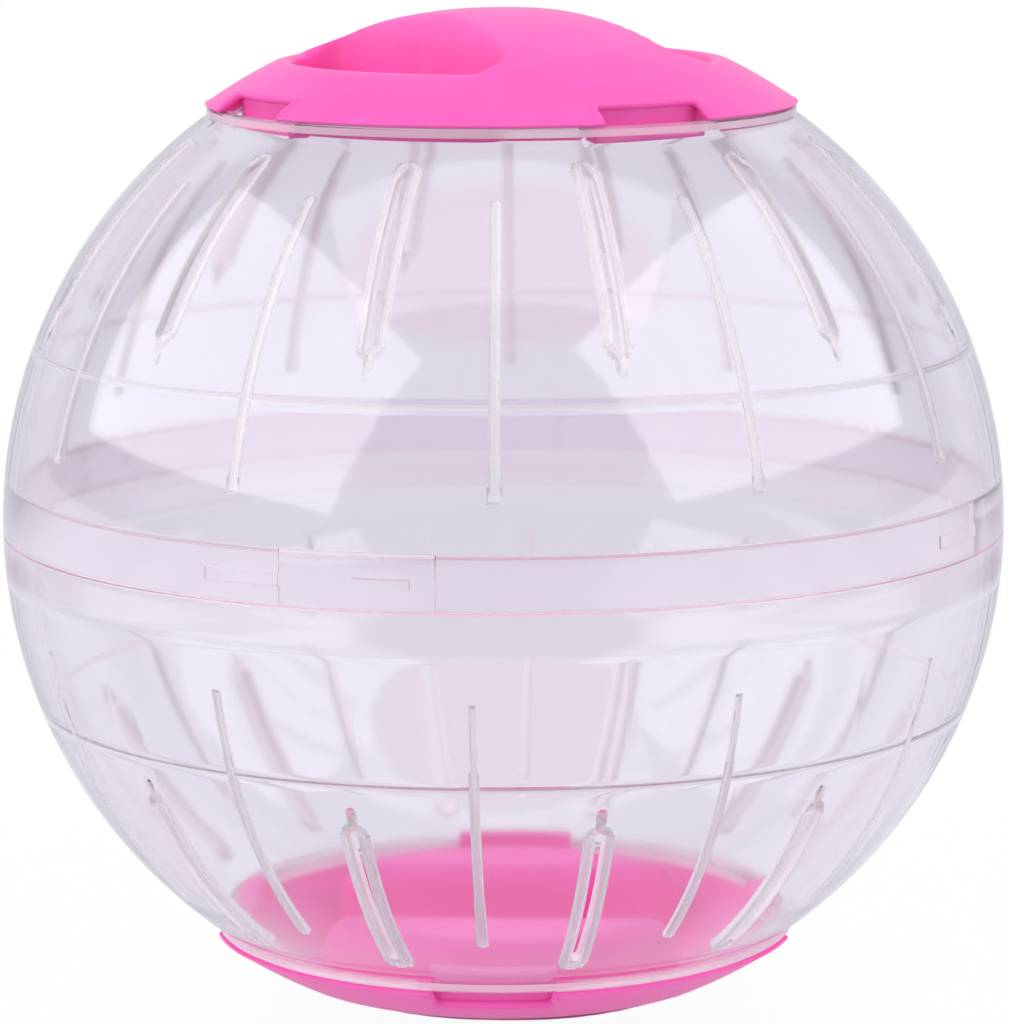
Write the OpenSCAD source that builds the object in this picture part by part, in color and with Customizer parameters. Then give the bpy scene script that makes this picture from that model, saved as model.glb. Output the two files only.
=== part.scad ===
// Hamster ball: two clear half shells that turn and lock on a collar, and a grip lid at each pole.
// The origin is the centre of the ball, and +Z runs up through the middle of both lids.

/* [Ball] */
// Outer diameter of the clear ball
ball_d = 145; // [130:1:190]
// Wall of the clear half shells
shell_wall = 1.8; // [1.5:0.1:2.2]
// Height of the parting line over the centre of the ball
seam_z = -0.8; // [-2:0.1:1]
// Gap between parts that turn or lift on one another
clearance = 0.3; // [0.2:0.05:0.4]
// Gap under a part that sits on another
seat_gap = 0.2; // [0.1:0.05:0.3]

/* [Half shell joint] */
// Height of the lower shell's collar over the parting line
collar_h = 7.2; // [6:0.1:9]
// Thickness of the collar
collar_wall = 1.3; // [1:0.1:1.6]
// Thickness of the upper shell's skirt around the collar, at the centre of the ball
skirt_wall = 1.4; // [1.3:0.1:1.6]
// Number of locking lugs around the collar
lug_count = 4; // [2:1:6]
// How far a lug stands out of the collar
lug_out = 0.5; // [0.4:0.05:0.7]
// Height of a lug
lug_h = 1.2; // [0.8:0.1:2]
// Angle that a lug spans
lug_angle = 6.4; // [4:0.1:8]
// Longitude of the first lug's middle, as stored
lug_lon = -13.2; // [-20:0.1:0]
// Angle of a pocket where a lug enters the skirt
pocket_angle = 17.3; // [12:0.1:20]
// Longitude of the first pocket's middle, as stored
pocket_lon = -15.85; // [-20:0.05:-10]
// Angle that the upper shell turns from open to locked
lock_turn = 17; // [12:1:25]

/* [Ribs and vents] */
// Number of ribs around each half shell, with as many vent slots between them
rib_count = 12; // [8:1:16]
// Longitude of the first rib of the upper shell
upper_rib_lon = -1; // [-15:0.5:15]
// Longitude of the first rib of the lower shell
lower_rib_lon = -3.5; // [-15:0.5:15]
// Width of a rib, at its pole end
rib_w = 1.6; // [1.2:0.1:2.4]
// Width of an upper rib at its equator end
upper_rib_end_w = 1.6; // [0.6:0.1:2.4]
// Width of a lower rib at its equator end
lower_rib_end_w = 0.8; // [0.6:0.1:2.4]
// How far ribs and vent frames stand in from the wall
rib_h = 0.9; // [0.6:0.1:1.2]
// Height of the ribs' equator end from the centre of the ball
rib_from_z = 13.5; // [11:0.1:20]
// How far under the neck's plane the ribs' pole end lies
rib_pole_gap = 8.1; // [6:0.1:14]
// Width of a vent slot
slot_w = 1.2; // [0.8:0.1:2]
// How far under the neck's plane the slots' pole end lies
slot_pole_gap = 4.5; // [3.5:0.1:8]
// Height that a slot spans
slot_rise = 21.8; // [14:0.1:24]
// Width of the raised bar on each side of a slot
slot_bar = 1.25; // [0.8:0.05:1.6]
// Height over which a slot's frame narrows beyond its equator end
slot_tip_h = 4; // [2:0.1:6]
// Width of the slot's frame where it ends at the tip
slot_tip_w = 0.9; // [0.5:0.1:1.4]
// Height of the fine ring inside each half shell from the centre of the ball
ring_z = 25.4; // [22:0.1:30]
// Height of the fine ring's bead
ring_w = 0.7; // [0.5:0.1:1]
// How far the fine ring stands in from the wall
ring_h = 0.35; // [0.3:0.05:0.6]

/* [Neck] */
// Outer diameter of the flange that carries a lid
neck_d = 84.6; // [80:0.1:90]
// Width of the flange around its hole
flange_w = 3.5; // [2.8:0.1:5]
// Thickness of the flange
flange_t = 1.8; // [1.5:0.1:2.2]
// Height of the flange's edge that shows over the ball
neck_rise = 1.4; // [1:0.1:1.7]
// Width of the ledge around the flange's foot
neck_ledge = 0.25; // [0.2:0.05:0.5]

/* [Lid] */
// Wall of the lids
lid_wall = 1.8; // [1.5:0.1:2.2]
// How far the lid's edge stands out over the flange
lid_over = 0.4; // [0.2:0.1:0.8]
// Diameter of the flat on the grip's crest
crest_flat_d = 9.4; // [6:0.1:14]
// Diameter of the flat land around the finger scoops
land_d = 64; // [61:0.5:70]
// Diameter of the circle that bounds both finger scoops
scoop_d = 59; // [54:0.5:60]
// Depth of the finger scoops under the land
scoop_depth = 10; // [6:0.5:11]
// Radius between a scoop's floor and its wall
scoop_fillet = 3; // [2:0.5:4]
// Width of the grip's top between its rounded edges
grip_top_w = 13.2; // [10:0.2:16]
// Radius of the grip's long edges
grip_edge_r = 6; // [4:0.5:7]
// Draft of the grip's sides from upright
grip_draft = 8; // [4:1:12]
// Longitude of the top lid's grip
top_lid_lon = 31; // [-90:1:90]
// Longitude of the bottom lid's grip
bottom_lid_lon = 87.5; // [-90:0.5:90]

/* [Lid hooks] */
// Number of hooks, with a window in the lid's edge over each
hook_count = 4; // [2:1:4]
// Width of a hook and its window
hook_w = 17.4; // [12:0.2:20]
// Thickness of a hook's leg
hook_leg = 1.6; // [1.2:0.1:2]
// How far a hook's toe reaches out from its leg
hook_toe = 1.5; // [1:0.1:1.6]
// Thickness of a hook's toe
hook_toe_t = 1.2; // [1:0.1:1.6]

/* [Hidden] */
$fn = 180;
arc_steps = 8;
full_turn = 360;
quarter_turn = 90;

// Overrun of a cut past the surface that it opens
over = 1;

ball_r = ball_d / 2;
inner_r = ball_r - shell_wall;
function height_at(sphere_r, r) = sqrt(sphere_r * sphere_r - r * r);

// The neck: a flat ring, let into the top of the ball, that the lid sits on
neck_r = neck_d / 2;
hole_r = neck_r - flange_w;
neck_z = height_at(ball_r, neck_r + neck_ledge);
flange_top = neck_z + neck_rise;
flange_under = flange_top - flange_t;

// The lid's dome keeps one centre with the ball, from its edge on the flange up to the crest
lid_edge_r = neck_r + lid_over;
lid_edge_z = flange_top + seat_gap;
dome_r = sqrt(lid_edge_r * lid_edge_r + lid_edge_z * lid_edge_z);
crest_z = height_at(dome_r, crest_flat_d / 2);
land_r = land_d / 2;
land_z = height_at(dome_r, land_r);
scoop_r = scoop_d / 2;
scoop_floor_z = land_z - scoop_depth;

// Hooks hang inside the flange's hole, and their toes reach out under the flange
hook_out_r = hole_r - clearance;
hook_in_r = hook_out_r - hook_leg;
toe_r = hook_out_r + hook_toe;
toe_top = flange_under - clearance;
toe_under = toe_top - hook_toe_t;
leg_top = height_at(dome_r - lid_wall, hook_in_r) + lid_wall / 4;
notch_r = toe_r + clearance;
notch_w = hook_w + 2 * (hook_out_r - hook_in_r);

// The collar stands up inside the skirt, and its lugs ride in the skirt's groove
skirt_bore_r = ball_r - skirt_wall;
collar_r = skirt_bore_r - clearance;
collar_in_r = collar_r - collar_wall;
collar_top = seam_z + collar_h;
skirt_top = collar_top + clearance + seat_gap;
shoulder_h = 2 * collar_wall;
lug_r = collar_r + lug_out;
groove_r = lug_r + clearance;
lug_mid_z = (seam_z + collar_top) / 2;
groove_h = lug_h + 2 * clearance;
pocket_r = groove_r + clearance / 2;
// The groove starts inside the pocket and ends where the lug stops when locked
lug_side_play = (clearance / collar_r) * full_turn / (2 * PI);
groove_from_lon = lug_lon - lock_turn - lug_angle / 2 - lug_side_play;
groove_to_lon = pocket_lon;

// Ribs and frames are rooted half way into the wall
root_r = (ball_r + inner_r) / 2;
rib_in_r = inner_r - rib_h;
ring_in_r = height_at(inner_r, ring_z) - ring_h;
ring_root_r = height_at(root_r, ring_z);
rib_step = full_turn / rib_count;
rib_to_z = neck_z - rib_pole_gap;
slot_to_z = neck_z - slot_pole_gap;
slot_from_z = slot_to_z - slot_rise;
slot_frame_w = slot_w + 2 * slot_bar;

// Turns its child to a longitude, where 0 is the front of the ball and +X is at 90
module at_lon(lon) {
    rotate([0, 0, lon - quarter_turn]) children();
}

// Layer of the space between two heights
module layer(from_z, to_z, r = ball_d) {
    translate([0, 0, from_z]) cylinder(r = r, h = to_z - from_z);
}

// Flat ring about the Z axis
module ring(in_r, out_r, from_z, to_z) {
    rotate_extrude() translate([in_r, from_z]) square([out_r - in_r, to_z - from_z]);
}

// Part of a flat ring that spans an angle to both sides of its middle longitude
module ring_part(in_r, out_r, from_z, to_z, lon, angle) {
    at_lon(lon) rotate([0, 0, -angle / 2])
        rotate_extrude(angle = angle) translate([in_r, from_z]) square([out_r - in_r, to_z - from_z]);
}

// Upright slab that runs out from the Z axis along +X, with its own width at each end
module blade(from_w, to_w, from_z, to_z) {
    rotate([quarter_turn, 0, quarter_turn]) linear_extrude(height = ball_d) polygon([
        [-from_w / 2, from_z], [from_w / 2, from_z], [to_w / 2, to_z], [-to_w / 2, to_z]
    ]);
}

// Thin layer of the wall's inside, where ribs and frames stand
module rib_layer() {
    difference() {
        sphere(r = root_r);
        sphere(r = rib_in_r);
    }
}

// Blades spaced around the ball at the ribs or at the slots
module blades(first_lon, from_w, to_w, from_z, to_z) {
    for (i = [0 : rib_count - 1]) at_lon(first_lon + i * rib_step) blade(from_w, to_w, from_z, to_z);
}

// Wall, flange, ribs and vents that both half shells share, drawn pole up from a given height
module shell_body(from_z, rib_lon, rib_end_w, hook_lon) {
    slot_lon = rib_lon + rib_step / 2;
    difference() {
        union() {
            difference() {
                sphere(r = ball_r);
                sphere(r = inner_r);
                layer(neck_z, ball_d);
                layer(-ball_d, from_z);
            }
            ring(hole_r, neck_r, flange_under, flange_top);
            ring(ring_in_r, ring_root_r, ring_z - ring_w / 2, ring_z + ring_w / 2);
            intersection() {
                rib_layer();
                union() {
                    blades(rib_lon, rib_end_w, rib_w, rib_from_z, rib_to_z);
                    blades(slot_lon, slot_frame_w, slot_frame_w, slot_from_z, slot_to_z + slot_bar);
                    blades(slot_lon, slot_tip_w, slot_frame_w, slot_from_z - slot_tip_h, slot_from_z);
                }
            }
        }
        blades(slot_lon, slot_w, slot_w, slot_from_z, slot_to_z);
        intersection() {
            layer(flange_under, flange_top + over, notch_r);
            union() {
                for (i = [0 : hook_count - 1]) {
                    at_lon(hook_lon + i * full_turn / hook_count)
                        blade(notch_w, notch_w, 0, flange_top + 2 * over);
                }
            }
        }
    }
}

module lower_shell() {
    color([0.86, 0.86, 0.92, 0.4]) {
        mirror([0, 0, 1]) shell_body(-seam_z, lower_rib_lon, lower_rib_end_w, bottom_lid_lon);
        // The collar and the shoulder that ties it to the wall
        rotate_extrude() polygon([
            [collar_in_r, collar_top],
            [collar_in_r, seam_z - collar_wall],
            [root_r, seam_z - shoulder_h],
            [root_r, seam_z - seat_gap],
            [collar_r, seam_z - seat_gap],
            [collar_r, collar_top],
        ]);
        for (i = [0 : lug_count - 1]) {
            ring_part(collar_r - collar_wall / 2, lug_r, lug_mid_z - lug_h / 2, lug_mid_z + lug_h / 2,
                lug_lon + i * full_turn / lug_count, lug_angle);
        }
    }
}

module upper_shell() {
    color([0.86, 0.86, 0.92, 0.4]) difference() {
        shell_body(seam_z + seat_gap, upper_rib_lon, upper_rib_end_w, top_lid_lon);
        layer(seam_z - over, skirt_top, skirt_bore_r);
        for (i = [0 : lug_count - 1]) {
            lon = i * full_turn / lug_count;
            // Pocket where the lug enters from below, and the groove that it turns into
            ring_part(rib_in_r, pocket_r, seam_z - over, lug_mid_z + lug_h, pocket_lon + lon, pocket_angle);
            ring_part(rib_in_r, groove_r, lug_mid_z - groove_h / 2, lug_mid_z + groove_h / 2,
                (groove_from_lon + groove_to_lon) / 2 + lon, groove_to_lon - groove_from_lon);
        }
    }
}

// Points of a round corner about a centre, from one angle to another
function corner(centre, r, from, to) = [
    for (i = [0 : arc_steps]) let (angle = from + (to - from) * i / arc_steps) centre + r * [cos(angle), sin(angle)]
];

// Cross-section of half the grip, shrunk inward by an inset: flat top, round edge, drafted side
function grip_side(inset) = let (
    centre = [grip_top_w / 2, crest_z - grip_edge_r],
    r = grip_edge_r - inset,
    foot_drop = crest_z - scoop_floor_z + 2 * lid_wall,
    foot = centre + r * [cos(grip_draft), sin(grip_draft)] + foot_drop * [tan(grip_draft), -1]
) concat([foot], corner(centre, r, grip_draft, quarter_turn));

// The grip as a long bar along X, before the dome trims it
module grip(inset) {
    side = grip_side(inset);
    other = [for (i = [len(side) - 1 : -1 : 0]) [-side[i][0], side[i][1]]];
    rotate([quarter_turn, 0, quarter_turn]) translate([0, 0, -lid_edge_r - over])
        linear_extrude(height = 2 * (lid_edge_r + over)) polygon(concat(side, other));
}

// Round well that both finger scoops are cut from, grown outward by an inset
module scoop_well(inset) {
    centre = [scoop_r - scoop_fillet, scoop_floor_z + scoop_fillet];
    r = scoop_fillet + inset;
    rotate_extrude() polygon(concat(
        [[0, scoop_floor_z - inset]],
        corner(centre, r, -quarter_turn, 0),
        [[scoop_r + inset, crest_z], [0, crest_z]]
    ));
}

// Solid bounded by the lid's outside, shrunk inward by an inset
module lid_form(inset) {
    intersection() {
        sphere(r = dome_r - inset);
        union() {
            difference() {
                layer(scoop_floor_z - 2 * lid_wall - inset, land_z - inset);
                scoop_well(inset);
            }
            grip(inset);
        }
    }
}

// A lid with its grip along X, pole up
module lid() {
    difference() {
        intersection() {
            difference() {
                lid_form(0);
                lid_form(lid_wall);
            }
            union() {
                layer(lid_edge_z, crest_z + over);
                layer(scoop_floor_z - lid_wall - over, lid_edge_z + over, scoop_r + lid_wall + over);
            }
        }
        // Windows through the lid's edge, over the hooks
        intersection() {
            ring(hook_out_r, ball_r, lid_edge_z - over, crest_z);
            hook_blades();
        }
    }
    intersection() {
        union() {
            ring(hook_in_r, hook_out_r, toe_under, leg_top);
            ring(hook_in_r, toe_r, toe_under, toe_top);
        }
        hook_blades();
    }
}

// Blades that bound the hooks and their windows
module hook_blades() {
    for (i = [0 : hook_count - 1])
        rotate([0, 0, i * full_turn / hook_count]) blade(hook_w, hook_w, 0, crest_z + over);
}

module top_lid() {
    color([0.98, 0.4, 0.76]) at_lon(top_lid_lon) lid();
}

module bottom_lid() {
    color([0.94, 0.37, 0.71]) mirror([0, 0, 1]) at_lon(bottom_lid_lon) lid();
}

lower_shell();
upper_shell();
top_lid();
bottom_lid();
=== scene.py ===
import math
import bpy
import bmesh
import numpy as np
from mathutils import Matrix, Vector


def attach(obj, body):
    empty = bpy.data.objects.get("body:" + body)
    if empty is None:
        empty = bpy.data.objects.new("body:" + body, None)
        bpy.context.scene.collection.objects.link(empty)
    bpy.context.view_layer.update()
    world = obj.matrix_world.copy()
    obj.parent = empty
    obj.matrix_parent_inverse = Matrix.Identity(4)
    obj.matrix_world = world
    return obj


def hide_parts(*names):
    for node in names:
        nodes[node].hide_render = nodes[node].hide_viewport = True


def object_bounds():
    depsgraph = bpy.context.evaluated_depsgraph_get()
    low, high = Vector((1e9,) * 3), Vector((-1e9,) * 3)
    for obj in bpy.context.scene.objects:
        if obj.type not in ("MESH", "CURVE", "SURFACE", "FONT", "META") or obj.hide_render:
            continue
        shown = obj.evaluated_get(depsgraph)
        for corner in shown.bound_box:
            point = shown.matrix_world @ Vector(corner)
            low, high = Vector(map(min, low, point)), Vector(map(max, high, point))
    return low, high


# A clear hamster ball with pink grip lids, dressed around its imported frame. The pieces' dictionaries are in
# millimetres and degrees, and the meshes in metres.

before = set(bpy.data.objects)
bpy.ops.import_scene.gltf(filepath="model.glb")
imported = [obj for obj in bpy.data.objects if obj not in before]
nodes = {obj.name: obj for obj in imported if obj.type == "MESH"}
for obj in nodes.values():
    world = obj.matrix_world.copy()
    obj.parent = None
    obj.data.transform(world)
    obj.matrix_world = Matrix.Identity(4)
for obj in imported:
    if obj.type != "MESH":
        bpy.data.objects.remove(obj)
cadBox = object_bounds()
mm = 0.001
print("frame loaded", sorted(nodes))

# Materials

def hexToLinear(hexText):
    # each channel leaves the sRGB curve: a small one by a straight line, a larger one by a power of 2.4
    rgb = np.array([int(hexText[i:i + 2], 16) for i in (1, 3, 5)]) / 255
    lin = np.where(rgb <= 0.04045, rgb / 12.92, ((rgb + 0.055) / 1.055) ** 2.4)
    return (*[float(c) for c in lin], 1.0)


def newMaterial(name):
    mat = bpy.data.materials.new(name)
    mat.use_nodes = True
    mat.node_tree.nodes.clear()
    return mat


def addNode(mat, kind, settings=None, links=None, **sockets):
    # one node with its settings, its socket values and its incoming links
    node = mat.node_tree.nodes.new(kind)
    for key, value in (settings or {}).items():
        setattr(node, key, value)
    for key, value in sockets.items():
        node.inputs[key.replace("_", " ")].default_value = value
    for key, source in (links or {}).items():
        mat.node_tree.links.new(source, node.inputs[key])
    return node


clearStyrene = {
    # finish: what a crossing leaves of white light, how clear it is, the haze that frosting and wear give to
    # what shows through, and what a crossing leaves of a lamp's light
    "clear styrene, moulded": ("#FEFDFF", 1.0, 0.055, "#FEFDFE"),
    "clear styrene, thick ribs": ("#FFFCFF", 0.42, 0.30, "#FAF6FA"),
    # the cut edges' pink tint is painted light: it stands in for the lids' pink light carried along the edges
    "clear styrene, cut edges, painted pink light": ("#FCE0EF", 0.55, 0.16, "#F6E6EF"),
    "clear styrene, sliding faces": ("#F9F7FC", 0.80, 0.12, "#FAF8FB"),
}
styreneSkin = {
    "ior": 1.59,
    "waveSize": 30 * mm,      # soft waves that the mould's polish leaves
    "waveHeight": 0.015 * mm,
}


def clearStyreneMoulded(name):
    # clear polystyrene, injection moulded and polished: hard glints on the skin over a faint haze; ribs are
    # milky where the plastic is thick, and cut edges carry a painted pink tint that stands in for the lids'
    # pink light
    tint, clearness, haze, shadowTint = clearStyrene[name]
    skin = styreneSkin
    mat = newMaterial(name)
    coords = addNode(mat, "ShaderNodeTexCoord")
    waves = addNode(mat, "ShaderNodeTexNoise", links={"Vector": coords.outputs["Object"]},
                    Scale=1 / skin["waveSize"], Detail=1.0)
    bump = addNode(mat, "ShaderNodeBump", links={"Height": waves.outputs["Fac"]},
                   Strength=1.0, Distance=skin["waveHeight"])
    body = addNode(mat, "ShaderNodeBsdfPrincipled", links={"Normal": bump.outputs["Normal"]},
                   Base_Color=hexToLinear(tint), Roughness=haze, IOR=skin["ior"],
                   Transmission_Weight=clearness)
    # a lamp's light goes straight through, so the lids inside are lit and the ball's shadow stays pale
    path = addNode(mat, "ShaderNodeLightPath")
    through = addNode(mat, "ShaderNodeBsdfTransparent", Color=hexToLinear(shadowTint))
    surface = addNode(mat, "ShaderNodeMixShader",
                      links={0: path.outputs["Is Shadow Ray"], 1: body.outputs[0], 2: through.outputs[0]})
    addNode(mat, "ShaderNodeOutputMaterial", links={"Surface": surface.outputs[0]})
    return mat


pinkStyrene = {
    "base": "#FF6CC4",
    "deep": "#F95AB6",
    "ior": 1.55,
    "roughness": 0.36,
    "sheen": 0.18,            # a moulded satin face mirrors less than a polished one
    "mottleSize": 9 * mm,
    "grainSize": 0.6 * mm,
    "grainHeight": 0.004 * mm,
    "glow": 0.12,             # share of the light that goes a little way into the plastic
    "glowDepth": 1.5 * mm,
    "glowReach": (1.0, 0.35, 0.6),   # how far red, green and blue get, as shares of that depth
}


def pinkStyreneMoulded():
    # opaque pink polystyrene, injection moulded with a satin gloss: soft highlights, a little light inside
    m = pinkStyrene
    mat = newMaterial("pink styrene, moulded")
    coords = addNode(mat, "ShaderNodeTexCoord")
    mottle = addNode(mat, "ShaderNodeTexNoise", links={"Vector": coords.outputs["Object"]},
                     Scale=1 / m["mottleSize"], Detail=2.0)
    colour = addNode(mat, "ShaderNodeMix", {"data_type": "RGBA"}, links={"Factor": mottle.outputs["Fac"]})
    colour.inputs[6].default_value = hexToLinear(m["base"])
    colour.inputs[7].default_value = hexToLinear(m["deep"])
    grain = addNode(mat, "ShaderNodeTexNoise", links={"Vector": coords.outputs["Object"]},
                    Scale=1 / m["grainSize"], Detail=1.0)
    bump = addNode(mat, "ShaderNodeBump", links={"Height": grain.outputs["Fac"]},
                   Strength=1.0, Distance=m["grainHeight"])
    body = addNode(mat, "ShaderNodeBsdfPrincipled",
                   links={"Base Color": colour.outputs[2], "Normal": bump.outputs["Normal"]},
                   Roughness=m["roughness"], IOR=m["ior"], Specular_IOR_Level=m["sheen"],
                   Subsurface_Weight=m["glow"], Subsurface_Scale=m["glowDepth"])
    body.inputs["Subsurface Radius"].default_value = m["glowReach"]
    addNode(mat, "ShaderNodeOutputMaterial", links={"Surface": body.outputs[0]})
    return mat


shellMaterials = [clearStyreneMoulded(name) for name in clearStyrene]
lidMaterials = [pinkStyreneMoulded()]
print("materials ready")

# Mesh pieces

def gridQuads(i, j, nextI, nextJ, cols):
    # the quads of a grid's cells, from the rows and columns of their corners
    corners = [i * cols + j, i * cols + nextJ, nextI * cols + nextJ, nextI * cols + j]
    return np.stack(corners, -1).reshape(-1, 4)


def turnedAbout(points, degrees):
    # points turned round the pole axis
    a = math.radians(degrees)
    x, y, z = points[..., 0], points[..., 1], points[..., 2]
    return np.stack([x * math.cos(a) - y * math.sin(a), x * math.sin(a) + y * math.cos(a), z], -1)


def meshPiece(name, points, faces, body, node, materials, sharpAngle, finishOf=None):
    # points and quads as arrays make one closed mesh that stands for a CAD node
    mesh = bpy.data.meshes.new(name + "_form")
    mesh.vertices.add(len(points))
    mesh.vertices.foreach_set("co", points.ravel())
    mesh.loops.add(faces.size)
    mesh.loops.foreach_set("vertex_index", faces.ravel().astype(np.int32))
    mesh.polygons.add(len(faces))
    mesh.polygons.foreach_set("loop_start", np.arange(0, faces.size, faces.shape[1], dtype=np.int32))
    mesh.update(calc_edges=True)
    mesh.validate()
    # the edges that grids share are merged, and cells drawn together to nothing are dissolved
    work = bmesh.new()
    work.from_mesh(mesh)
    bmesh.ops.remove_doubles(work, verts=work.verts, dist=0.002 * mm)
    bmesh.ops.dissolve_degenerate(work, edges=work.edges, dist=0.001 * mm)
    bmesh.ops.recalc_face_normals(work, faces=work.faces)
    openEdges = sum(1 for e in work.edges if len(e.link_faces) != 2)
    work.to_mesh(mesh)
    work.free()
    mesh.polygons.foreach_set("use_smooth", np.ones(len(mesh.polygons), bool))
    mesh.set_sharp_from_angle(angle=math.radians(sharpAngle))
    for material in materials:
        mesh.materials.append(material)
    if finishOf:
        middles, normals = np.zeros(len(mesh.polygons) * 3), np.zeros(len(mesh.polygons) * 3)
        mesh.polygons.foreach_get("center", middles)
        mesh.polygons.foreach_get("normal", normals)
        finish = finishOf(middles.reshape(-1, 3) / mm, normals.reshape(-1, 3))
        mesh.polygons.foreach_set("material_index", finish.astype(np.int32))
    piece = bpy.data.objects.new(name + "_finish", mesh)
    bpy.context.scene.collection.objects.link(piece)
    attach(piece, body)
    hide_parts(node)
    print(f"{name}: {len(mesh.polygons)} faces, {openEdges} edges not between two faces")
    return piece


# Clear half shells: each is one closed surface, a meridian profile carried round the pole axis.

shellForm = {
    "ballRadius": 72.5,
    "wall": 1.8,
    "ribCount": 12,
    "ribWidth": 1.6,
    "ribHeight": 0.9,
    "ribFrom": 13.5,          # heights of the ribs' two ends
    "ribTo": 50.6,
    "slotHalf": 0.75,         # half the width of a vent slot
    "slotFrom": 32.4,
    "slotTo": 54.2,
    "slotEndSlope": 1.25,     # mean length along the wall per unit of height at a slot's two ends
    "slotEndWidth": 0.3,      # share of its width that a slot keeps at its very ends
    "frameHalf": 1.90,        # half the width of a slot's raised frame
    "tipLength": 4.0,         # how far the frame runs out beyond the slot
    "tipHalf": 0.45,
    "tipRootHalf": 1.3,       # half its width where it leaves the frame
    "footUp": 0.6,            # how far above a rib's lower end its foot has its middle
    "footReach": 0.7,
    "ringHeight": 25.4,
    "ringHalf": 0.4,
    "neckRadius": 42.3,
    "holeRadius": 38.8,
    "notchRadius": 40.3,
    "notchHalf": 10.3,
    "flangeTop": 60.1,
    "flangeUnder": 58.3,
    "neckHeight": 58.7,
    "softness": 2.6,          # how full the ribs' rounded cross-section is
    "edgeTurn": 32,           # degrees out of the wall's direction from which a face counts as an edge
    "sharpAngle": 30,         # degrees between two faces from which their edge is drawn sharp
}

# footHalf is half the width of the small foot that a rib stands on towards the parting line; seam is the
# height of the outer wall's end, and seamRadius is where its flat edge starts
upperShellForm = {"ribLon": -1.0, "ribEndWidth": 1.6, "footHalf": 1.05, "ringDepth": 0.12,
                  "notchLon": 31.0, "seam": -0.6, "seamRadius": 71.8}
lowerShellForm = {"ribLon": -3.5, "ribEndWidth": 0.8, "footHalf": 0.4, "ringDepth": 0.14,
                  "notchLon": 87.5, "seam": 0.8, "seamRadius": 71.6}

seamForm = {
    "skirtTop": 6.9,
    "skirtBore": 71.1,
    "collarInner": 69.5,
    "collarOuter": 70.8,
    "collarTop": 6.4,
    "collarRoot": ((70.2, 5.4), (69.85, 3.6), (69.6, 2.2)),   # radii and heights down to the collar
    "lugOut": 0.5,
    "lugMiddle": 2.8,
    "lugHeight": 1.2,
    "lugAngle": 6.4,
    "lugLon": -13.2,
    "grooveDepth": 0.5,
    "grooveHeight": 1.8,
    "pocketDepth": 0.65,
    "pocketAngle": 17.3,
    "pocketLon": -15.85,
    "grooveEnd": 20.5,        # the lug's half angle, the 17 degrees of the locking turn and some play
    "stepAngle": 0.05,
}


def angleFrom(lon, middle, count):
    # signed angle in degrees from the nearest of several evenly spaced middles
    step = 360 / count
    return (lon - middle + step / 2) % step - step / 2


def fullRound(reach, power):
    # a superellipse's height over its reach: 1 in the middle, falling steeply to 0 at a reach of 1
    return np.clip(1 - np.clip(np.abs(reach), 0, 1) ** power, 0, 1) ** (1 / power)


def smoothStep(t):
    t = np.clip(t, 0, 1)
    return t * t * (3 - 2 * t)


def pastSpan(z, low, high, half):
    # how far a height lies beyond a span whose round ends have a radius of half
    return np.maximum(np.maximum(low + half - z, z - high + half), 0)


def meridianRows(form, lowest):
    # heights where the wall has a row, close together at the ends of ribs, slots and ring
    f = form
    marks = [
        np.linspace(f["flangeUnder"], f["slotTo"] + 1.6, 4),
        f["slotTo"] + np.array([1.25, 1.05, 0.75, 0.4, 0.12, 0.0, -0.12, -0.35, -0.6, -1.2]),
        np.linspace(f["ribTo"] + 1.2, f["ribTo"] + 0.1, 3),
        f["ribTo"] - np.array([0.0, 0.12, 0.35, 0.7, 1.3]),
        np.linspace(f["ribTo"] - 2.6, f["slotFrom"] + 1.8, 11),
        f["slotFrom"] + np.array([0.9, 0.6, 0.35, 0.12, 0.0, -0.12, -0.4, -0.8]),
        np.linspace(f["slotFrom"] - 1.2, f["slotFrom"] - f["tipLength"] + 0.5, 5),
        f["slotFrom"] - f["tipLength"] + np.array([0.0, -0.8]),
        f["ringHeight"] + np.array([1.2, 0.4, 0.3, 0.15, 0.0, -0.15, -0.3, -0.4, -1.2]),
        np.linspace(f["ringHeight"] - 2.6, f["ribFrom"] + 2.0, 7),
        f["ribFrom"] + np.array([1.0, 0.6, 0.3, 0.1, 0.0, -0.25, -1.0]),
        np.linspace(f["ribFrom"] - 2.4, lowest, 5),
    ]
    return np.concatenate(marks)


def sectorColumns(form, rho):
    # angles of one sector's columns for rows of radius rho, and which column is the slot's first edge: given
    # sideways steps over the rib and the slot's frame, whose sides stay parallel, and even angles between
    ribSide = np.array([-1.35, -1.2, -1.05, -0.8, -0.72, -0.5, -0.25, 0,
                        0.25, 0.5, 0.72, 0.8, 1.05, 1.2, 1.35])
    slotSide = np.array([-2.5, -2.2, -1.9, -1.72, -1.325, -0.92, -0.75, -0.37, 0,
                         0.37, 0.75, 0.92, 1.325, 1.72, 1.9, 2.2, 2.5])
    half = 180 / form["ribCount"]
    rib = np.degrees(np.arcsin(ribSide[None, :] / rho[:, None]))
    slot = half + np.degrees(np.arcsin(slotSide[None, :] / rho[:, None]))
    share = np.linspace(0, 1, 8)[1:-1][None, :]
    rise = rib[:, -1:] + (slot[:, :1] - rib[:, -1:]) * share
    fall = slot[:, -1:] + (2 * half + rib[:, :1] - slot[:, -1:]) * share
    slotEdge = int(np.argmin(np.abs(slotSide + form["slotHalf"])))
    return np.hstack([rib, rise, slot, fall]), len(ribSide) + share.size + slotEdge


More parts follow.
